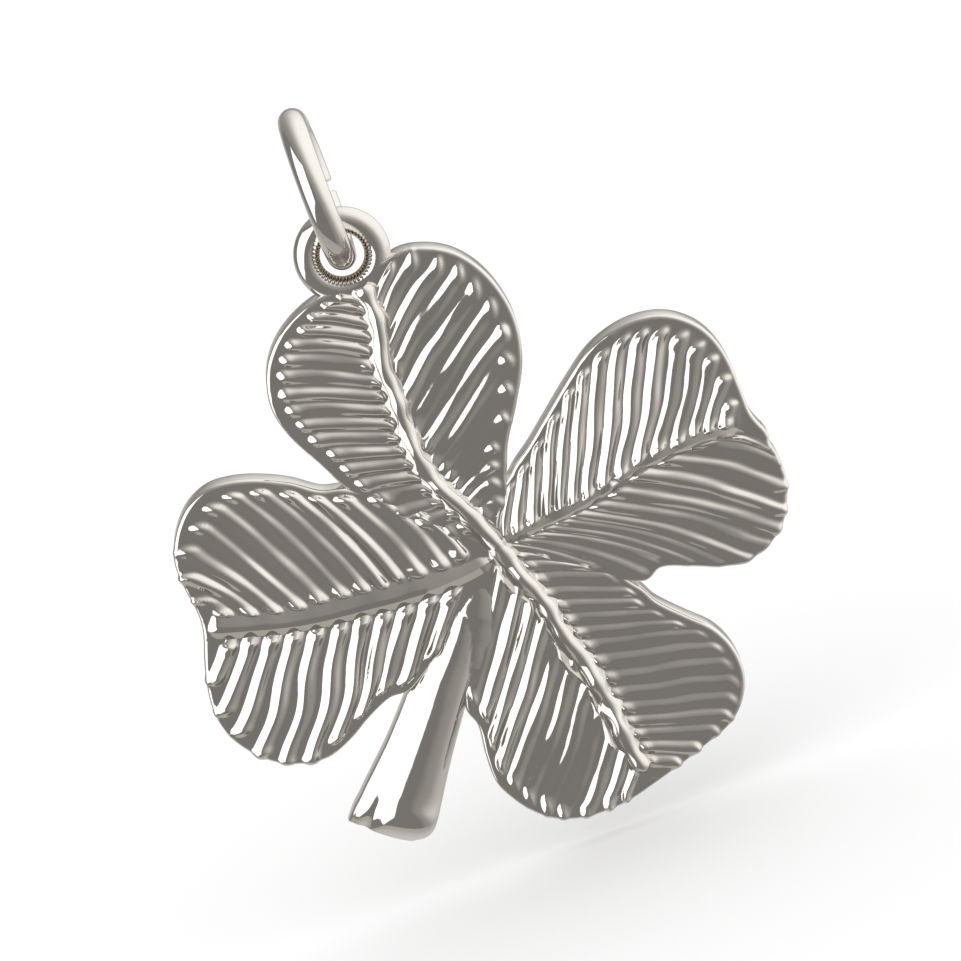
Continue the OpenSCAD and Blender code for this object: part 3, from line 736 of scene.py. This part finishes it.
def eye(sizes, ring):
    """The small round eye, with fine grooves in the front of its hole."""
    place, radius = eye_centre(sizes, ring)
    r = ring.eye_wire / 2
    turn = np.arange(EYE_STEPS) * math.tau / EYE_STEPS
    around = np.arange(STOCK_STEPS) * math.tau / STOCK_STEPS
    inner_front = np.exp(-((around - GROOVE_AT) / GROOVE_WIDE) ** 2)
    groove = (0.5 + 0.5 * np.cos(ring.grooves * turn)) ** 3
    reach = r - GROOVE_DEEP * groove[:, None] * inner_front[None, :]
    out = radius + reach * np.cos(around)[None, :]
    z = ring.eye_set + reach * np.sin(around)[None, :]
    grid = np.stack([place[0] + out * np.cos(turn)[:, None], place[1] + out * np.sin(turn)[:, None], z], -1)
    solid = Shape()
    solid.add(grid)
    solid.sheet(EYE_STEPS, STOCK_STEPS, 0, closed_rows=True, closed_columns=True)
    return solid.object("eye")


def combine(base, others, operation="UNION"):
    """Joins solids into one closed mesh, or cuts them from it."""
    for other in others:
        step = base.modifiers.new(other.name, "BOOLEAN")
        step.solver = "MANIFOLD"
        step.operation = operation
        step.object = other
        bpy.context.view_layer.update()
        mesh = bpy.data.meshes.new_from_object(base.evaluated_get(bpy.context.evaluated_depsgraph_get()))
        base.modifiers.clear()
        base.data = mesh
        bpy.data.objects.remove(other)
    return base


def finish_mesh(piece, place):
    """Moves a piece's mesh to its place, in metres, and shades it smooth between its edges."""
    piece.data.transform(Matrix.Scale(MM, 4) @ place)
    piece.data.shade_smooth()
    piece.data.set_sharp_from_angle(angle=SHARP_EDGE)
    piece.data.update()


def silver(name, tint, roughness, grain_deep, grain_scale, painted_shade=None):
    """Cast silver: a little warm, with fine unevenness in the shine.

    painted_shade is painted shade in a round hole, a brown mixed into the colour: that brown, the middle (x,
    z) of the hole, and the radii at which it ends and is full, in mm.
    """
    made = bpy.data.materials.new(name)
    made.use_nodes = True
    nodes, links = made.node_tree.nodes, made.node_tree.links
    shader = nodes["Principled BSDF"]
    shader.inputs["Metallic"].default_value = 1.0
    place = nodes.new("ShaderNodeTexCoord")
    cloud = nodes.new("ShaderNodeTexNoise")
    cloud.inputs["Scale"].default_value = CLOUD_SCALE
    cloud.inputs["Detail"].default_value = 3.0
    shade = nodes.new("ShaderNodeValToRGB")
    shade.color_ramp.elements[0].position = 0.35
    shade.color_ramp.elements[0].color = (*[c * CLOUD_DARK for c in tint], 1)
    shade.color_ramp.elements[1].position = 0.65
    shade.color_ramp.elements[1].color = (*tint, 1)
    links.new(place.outputs["Object"], cloud.inputs["Vector"])
    links.new(cloud.outputs["Fac"], shade.inputs["Fac"])
    colour = shade.outputs["Color"]
    if painted_shade:
        colour = add_painted_shade(nodes, links, place.outputs["Object"], colour, *painted_shade)
    links.new(colour, shader.inputs["Base Color"])
    shine = nodes.new("ShaderNodeMapRange")
    shine.inputs["To Min"].default_value = roughness * CLOUD_SHINE[0]
    shine.inputs["To Max"].default_value = roughness * CLOUD_SHINE[1]
    links.new(cloud.outputs["Fac"], shine.inputs["Value"])
    links.new(shine.outputs["Result"], shader.inputs["Roughness"])
    grain = nodes.new("ShaderNodeTexNoise")
    grain.inputs["Scale"].default_value = grain_scale
    grain.inputs["Detail"].default_value = 2.0
    bump = nodes.new("ShaderNodeBump")
    bump.inputs["Strength"].default_value = grain_deep
    bump.inputs["Distance"].default_value = GRAIN_HIGH
    links.new(place.outputs["Object"], grain.inputs["Vector"])
    links.new(grain.outputs["Fac"], bump.inputs["Height"])
    links.new(bump.outputs["Normal"], shader.inputs["Normal"])
    return made


def add_painted_shade(nodes, links, place, colour, brown, centre, unshaded, dark):
    """The colour, mixed with brown round the hole as painted shade: none from the unshaded radius on, all
    within the dark one.
    """
    step = nodes.new("ShaderNodeVectorMath")
    step.operation = "SUBTRACT"
    step.inputs[1].default_value = (centre[0] * MM, 0, centre[1] * MM)
    flat = nodes.new("ShaderNodeVectorMath")
    flat.operation = "MULTIPLY"
    flat.inputs[1].default_value = (1, 0, 1)
    far = nodes.new("ShaderNodeVectorMath")
    far.operation = "LENGTH"
    share = nodes.new("ShaderNodeMapRange")
    share.interpolation_type = "SMOOTHSTEP"
    share.inputs["From Min"].default_value = unshaded * MM
    share.inputs["From Max"].default_value = dark * MM
    mix = nodes.new("ShaderNodeMix")
    mix.data_type = "RGBA"
    mix.inputs["B"].default_value = (*brown, 1)
    links.new(place, step.inputs[0])
    links.new(step.outputs["Vector"], flat.inputs[0])
    links.new(flat.outputs["Vector"], far.inputs[0])
    links.new(far.outputs["Value"], share.inputs["Value"])
    links.new(share.outputs["Result"], mix.inputs["Factor"])
    links.new(colour, mix.inputs["A"])
    return mix.outputs["Result"]


def give_finish(piece, name, painted_shade=None):
    """Coats the whole piece in the polished silver, with painted shade in the eye's hole when that is given.
    """
    look = bpy.context.scene.clover_silver
    if painted_shade:
        painted_shade = (look.painted_shade, *painted_shade)
    finish = silver(name, look.tint, look.roughness, look.grain, CAST_GRAIN, painted_shade)
    piece.data.materials.clear()
    piece.data.materials.append(finish)
    piece.data.polygons.foreach_set("material_index", np.zeros(len(piece.data.polygons), np.int32))


def give_back(piece, depth):
    """Leaves the flat back, which lies at this depth in mm, satin as it was cast, and darker in tint: painted
    shade that tones down the bright lamp's reflection.
    """
    look = bpy.context.scene.clover_silver
    mesh = piece.data
    # Satin roughness and grain are the back's own; its darker tint is painted shade against the bright lamp
    satin = silver("satin_shaded_back", look.shaded_back_tint, look.back_roughness, look.back_grain, SATIN_GRAIN)
    mesh.materials.append(satin)
    normals, centres = (np.empty((len(mesh.polygons), 3), np.float32) for _ in range(2))
    mesh.polygons.foreach_get("normal", normals.ravel())
    mesh.polygons.foreach_get("center", centres.ravel())
    back = (normals[:, 1] > 0.99) & (centres[:, 1] > (depth - 0.001) * MM)
    mesh.polygons.foreach_set("material_index", back.astype(np.int32))


class CLOVER_OT_casting(Operator):
    """Build the cast clover with its ribs, veins, stem and eye"""

    bl_idname = "clover.casting"
    bl_label = "Cast clover"

    def execute(self, context):
        sizes, ring = context.scene.clover_sizes, context.scene.clover_rings
        halves = [half_leaf(name, sizes) for name in HALVES]
        webs = [
            web("web_1", sizes, sizes.leaf_top, TOP_LEFT[2], sizes.leaf_left, LEFT_RIGHT[2]),
            web("web_2", sizes, sizes.leaf_top, TOP_RIGHT[1], sizes.leaf_right, RIGHT_LEFT[1]),
            web("web_3", sizes, sizes.leaf_right, RIGHT_RIGHT[1], sizes.leaf_bottom, BOTTOM_LEFT[2]),
            web("web_4", sizes, sizes.leaf_bottom, BOTTOM_RIGHT[1], sizes.leaf_left, LEFT_LEFT[1])]
        body = combine(halves[0], halves[1:] + webs)
        body = combine(body, self.veins(sizes) + [stem(sizes)])
        centre, radius = eye_centre(sizes, ring)
        eye_cut = disc("eye_cut", radius, low=-1, high=3, steps=EYE_CUT_SIDES, at=centre)
        body = combine(body, [eye_cut], "DIFFERENCE")
        body = combine(body, [eye(sizes, ring)])
        place = (Matrix.Translation((0, 0, -hang(ring))) @ Matrix.Rotation(math.pi / 2, 4, "X")
                 @ Matrix.Translation((-centre[0], -centre[1], -ring.eye_set)))
        finish_mesh(body, place)
        body.name = "clover_casting"
        # The eye's hole gets painted shade: a brown mixed into the silver's colour round it
        hole = radius - ring.eye_wire / 2
        give_finish(body, "cast_silver", ((0, -hang(ring)), hole + SHADE_ENDS, hole + SHADE_FULL))
        give_back(body, ring.eye_set)
        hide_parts("clover")
        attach(body, "pendant")
        return {"FINISHED"}

    def veins(self, sizes):
        """The raised veins, the low step beside the cord and the mound at the stem's root."""
        stretch = np.linspace(0, 1, VEIN_STEPS)
        cord_side = sizes.cord_wide * 0.9
        long_path = np.concatenate([
            on_vein(sizes.leaf_top, VEIN_TOP, stretch[::-1]),
            on_vein(sizes.leaf_bottom, VEIN_BOTTOM, stretch[1:] * 0.95)])
        left_path = on_vein(sizes.leaf_left, VEIN_LEFT, stretch * 0.995 - 0.01)
        right_path = on_vein(sizes.leaf_right, VEIN_RIGHT, stretch * 0.96)
        shoulder_path = on_vein(sizes.leaf_bottom, VEIN_BOTTOM, stretch * 0.85)
        stem_line = (*sizes.stem[:2], sizes.stem[3])
        root_path = on_leaf(stem_line, 0.1 + 0.38 * stretch, 0.08 + 0.12 * stretch)
        return [
            cord("left_ridge", left_path, sizes, left=(0.57, "line"), right=(1.3, "line"),
                 high=sizes.ridge_high, uneven=0.4, shift=0.2, taper=(0.6, 0.4), narrow=(0.35, 4)),
            cord("right_seam", right_path, sizes, left=(0.8, "line"), right=(0.4, "line"),
                 high=sizes.seam_high, uneven=1.5, shift=0.02, taper=(0.3, 1.5)),
            cord("bottom_shoulder", shoulder_path, sizes, left=(0.5, "line"), right=(0.22, "line"),
                 high=sizes.shoulder_high, uneven=3.0, shift=-0.45),
            cord("stem_root", root_path, sizes, left=(0.95, "dome"), right=(0.95, "dome"),
                 high=MOUND_HIGH, uneven=0.4, taper=(1.4, 1.0)),
            cord("long_cord", long_path, sizes, left=(cord_side, "dome"), right=(cord_side, "slope"),
                 high=sizes.cord_high, uneven=1.4)]


class CLOVER_OT_jump_ring(Operator):
    """Build the jump ring with its cut ends"""

    bl_idname = "clover.jump_ring"
    bl_label = "Jump ring"

    def execute(self, context):
        ring = context.scene.clover_rings
        radius = (ring.ring_hole + ring.ring_wire) / 2
        half_slit = math.asin(ring.slit / 2 / radius)
        turns = np.linspace(half_slit, math.tau - half_slit, RING_STEPS) - ring.slit_drop
        wire = np.full(RING_STEPS, ring.ring_wire / 2)
        # Short rounding at the cut ends
        wire[[0, -1]] -= CUT_ROUNDING
        turns[1], turns[-2] = turns[0] + CUT_ROUNDING / radius, turns[-1] - CUT_ROUNDING / radius
        around = np.arange(WIRE_STEPS) * math.tau / WIRE_STEPS
        solid = Shape()
        for t, r in zip(turns, wire):
            out = radius + r * np.cos(around)
            solid.add(np.stack([r * np.sin(around), out * math.cos(t), out * math.sin(t)], -1))
        solid.sheet(RING_STEPS, WIRE_STEPS, 0, closed_columns=True)
        first = (RING_STEPS - 1) * WIRE_STEPS
        solid.faces += [tuple(range(WIRE_STEPS)), tuple(range(first, first + WIRE_STEPS))[::-1]]
        made = solid.object("jump_ring_wire")
        finish_mesh(made, Matrix.Translation((0, 0, -ring.ring_hole / 2)))
        give_finish(made, "ring_silver")
        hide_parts("jump_ring")
        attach(made, "ring")
        return {"FINISHED"}


def camera_axes(look):
    """Right, up and back of the level camera, and of the leaning picture."""
    a, e, lean = look.azimuth, look.elevation, look.roll
    right = Vector((math.cos(a), math.sin(a), 0))
    back = Vector((math.sin(a) * math.cos(e), -math.cos(a) * math.cos(e), math.sin(e)))
    up = back.cross(right)
    picture_right = right * math.cos(lean) - up * math.sin(lean)
    picture_up = right * math.sin(lean) + up * math.cos(lean)
    return picture_right, picture_up, back


class CLOVER_OT_stage(Operator):
    """Build the floor, the studio light and the camera"""

    bl_idname = "clover.stage"
    bl_label = "Stage"

    def execute(self, context):
        look = context.scene.clover_stage
        right, up, back = camera_axes(look)
        self.camera(context, look, right, up, back)
        self.world(context, right, up, back)
        self.floor(look)
        return {"FINISHED"}

    def camera(self, context, look, right, up, back):
        sizes, ring = context.scene.clover_sizes, context.scene.clover_rings
        centre = eye_centre(sizes, ring)[0]
        middle = Vector((-centre[0], ring.eye_set - sizes.blade, -hang(ring) - centre[1])) * MM
        step_x = (MIDDLE_PIXEL[0] - PIXELS / 2) / PIXELS_PER_MM * MM
        step_y = (PIXELS / 2 - MIDDLE_PIXEL[1]) / PIXELS_PER_MM * MM
        aim = middle - right * step_x - up * step_y
        data = bpy.data.cameras.new("camera")
        data.sensor_width = SENSOR
        data.lens = SENSOR * look.distance / (PIXELS / PIXELS_PER_MM * MM)
        data.clip_start, data.clip_end = 0.01, 10
        made = bpy.data.objects.new("camera", data)
        context.scene.collection.objects.link(made)
        turn = Matrix((right, up, back)).transposed().to_4x4()
        made.matrix_world = Matrix.Translation(aim + back * look.distance) @ turn
        context.scene.camera = made
        context.scene.view_settings.view_transform = "Standard"

    def world(self, context, right, up, back):
        world = bpy.data.worlds.new("studio")
        context.scene.world = world
        world.use_nodes = True
        nodes, links = world.node_tree.nodes, world.node_tree.links
        nodes.clear()
        out = nodes.new("ShaderNodeOutputWorld")
        place = nodes.new("ShaderNodeTexCoord")

        def toward(axis, name):
            dot = nodes.new("ShaderNodeVectorMath")
            dot.operation = "DOT_PRODUCT"
            dot.name = name
            dot.inputs[1].default_value = axis.normalized()
            links.new(place.outputs["Generated"], dot.inputs[0])
            return dot.outputs["Value"]

        def ramp(source, stops):
            made = nodes.new("ShaderNodeValToRGB")
            span = nodes.new("ShaderNodeMapRange")
            span.inputs["From Min"].default_value = -1
            links.new(source, span.inputs["Value"])
            links.new(span.outputs["Result"], made.inputs["Fac"])
            elements = made.color_ramp.elements
            while len(elements) < len(stops):
                elements.new(0.5)
            for element, (at, tone) in zip(elements, stops):
                element.position = (at + 1) / 2
                element.color = (*tone, 1)
            return made.outputs["Color"]

        def blend(a, b, way):
            made = nodes.new("ShaderNodeMix")
            made.data_type = "RGBA"
            made.blend_type = way
            made.inputs["Factor"].default_value = 1
            links.new(a, made.inputs["A"])
            links.new(b, made.inputs["B"])
            return made.outputs["Result"]

        def least(a, b):
            return blend(a, b, "DARKEN")

        def most(a, b):
            return blend(a, b, "LIGHTEN")

        tones = {}
        for name, ((a, b, c), stops) in STUDIO.items():
            tones[name] = ramp(toward(right * a + up * b + back * c, name), stops)
        room = blend(tones["room"], tones["backdrop"], "MULTIPLY")
        lamp = least(least(tones["lamp's near edge"], tones["lamp's lower edge"]),
                     least(tones["lamp's upper edge"], tones["lamp's far edge"]))
        mirrored = most(most(room, lamp), most(tones["floor below"], tones["floor behind"]))
        seen = nodes.new("ShaderNodeBackground")
        seen.inputs["Color"].default_value = (1, 1, 1, 1)
        seen.inputs["Strength"].default_value = SKY_STRENGTH
        shine = nodes.new("ShaderNodeBackground")
        links.new(mirrored, shine.inputs["Color"])
        path = nodes.new("ShaderNodeLightPath")
        mix = nodes.new("ShaderNodeMixShader")
        links.new(path.outputs["Is Glossy Ray"], mix.inputs["Fac"])
        links.new(seen.outputs["Background"], mix.inputs[1])
        links.new(shine.outputs["Background"], mix.inputs[2])
        links.new(mix.outputs["Shader"], out.inputs["Surface"])

    def floor(self, look):
        low = CAD_BOX[0].z - look.floor_gap
        mesh = bpy.data.meshes.new("floor")
        corners = [(x * FLOOR_REACH, y * FLOOR_REACH, low) for x, y in ((-1, -1), (1, -1), (1, 1), (-1, 1))]
        mesh.from_pydata(corners, [], [(0, 1, 2, 3)])
        made = bpy.data.objects.new("floor", mesh)
        bpy.context.scene.collection.objects.link(made)
        coat = bpy.data.materials.new("pale_floor")
        coat.use_nodes = True
        shader = coat.node_tree.nodes["Principled BSDF"]
        shader.inputs["Base Color"].default_value = (*look.floor_tint, 1)
        shader.inputs["Roughness"].default_value = FLOOR_ROUGHNESS
        shader.inputs["Specular IOR Level"].default_value = 0.0
        mesh.materials.append(coat)
        # The silver mirrors the studio's painted floor instead
        made.visible_glossy = False


class CLOVER_PT_sidebar(Panel):
    """The pendant's pieces, in the 3D view's sidebar"""

    bl_idname = "CLOVER_PT_sidebar"
    bl_label = "Clover pendant"
    bl_space_type = "VIEW_3D"
    bl_region_type = "UI"
    bl_category = "Clover pendant"

    def draw(self, context):
        for operator in OPERATORS:
            self.layout.operator(operator.bl_idname)
        for group in (context.scene.clover_sizes, context.scene.clover_rings,
                      context.scene.clover_silver, context.scene.clover_stage):
            box = self.layout.box()
            for name in group.bl_rna.properties.keys():
                if name not in ("rna_type", "name"):
                    box.prop(group, name)


GROUPS = (CloverSizes, RingSizes, SilverLook, StageLook)
OPERATORS = (CLOVER_OT_casting, CLOVER_OT_jump_ring, CLOVER_OT_stage)


def register():
    for item in GROUPS + OPERATORS + (CLOVER_PT_sidebar,):
        bpy.utils.register_class(item)
    bpy.types.Scene.clover_sizes = PointerProperty(type=CloverSizes)
    bpy.types.Scene.clover_rings = PointerProperty(type=RingSizes)
    bpy.types.Scene.clover_silver = PointerProperty(type=SilverLook)
    bpy.types.Scene.clover_stage = PointerProperty(type=StageLook)


def unregister():
    for name in ("clover_sizes", "clover_rings", "clover_silver", "clover_stage"):
        delattr(bpy.types.Scene, name)
    for item in reversed(GROUPS + OPERATORS + (CLOVER_PT_sidebar,)):
        bpy.utils.unregister_class(item)


def main():
    register()
    bpy.ops.clover.casting()
    bpy.ops.clover.jump_ring()
    bpy.ops.clover.stage()


if __name__ == "__main__":
    main()
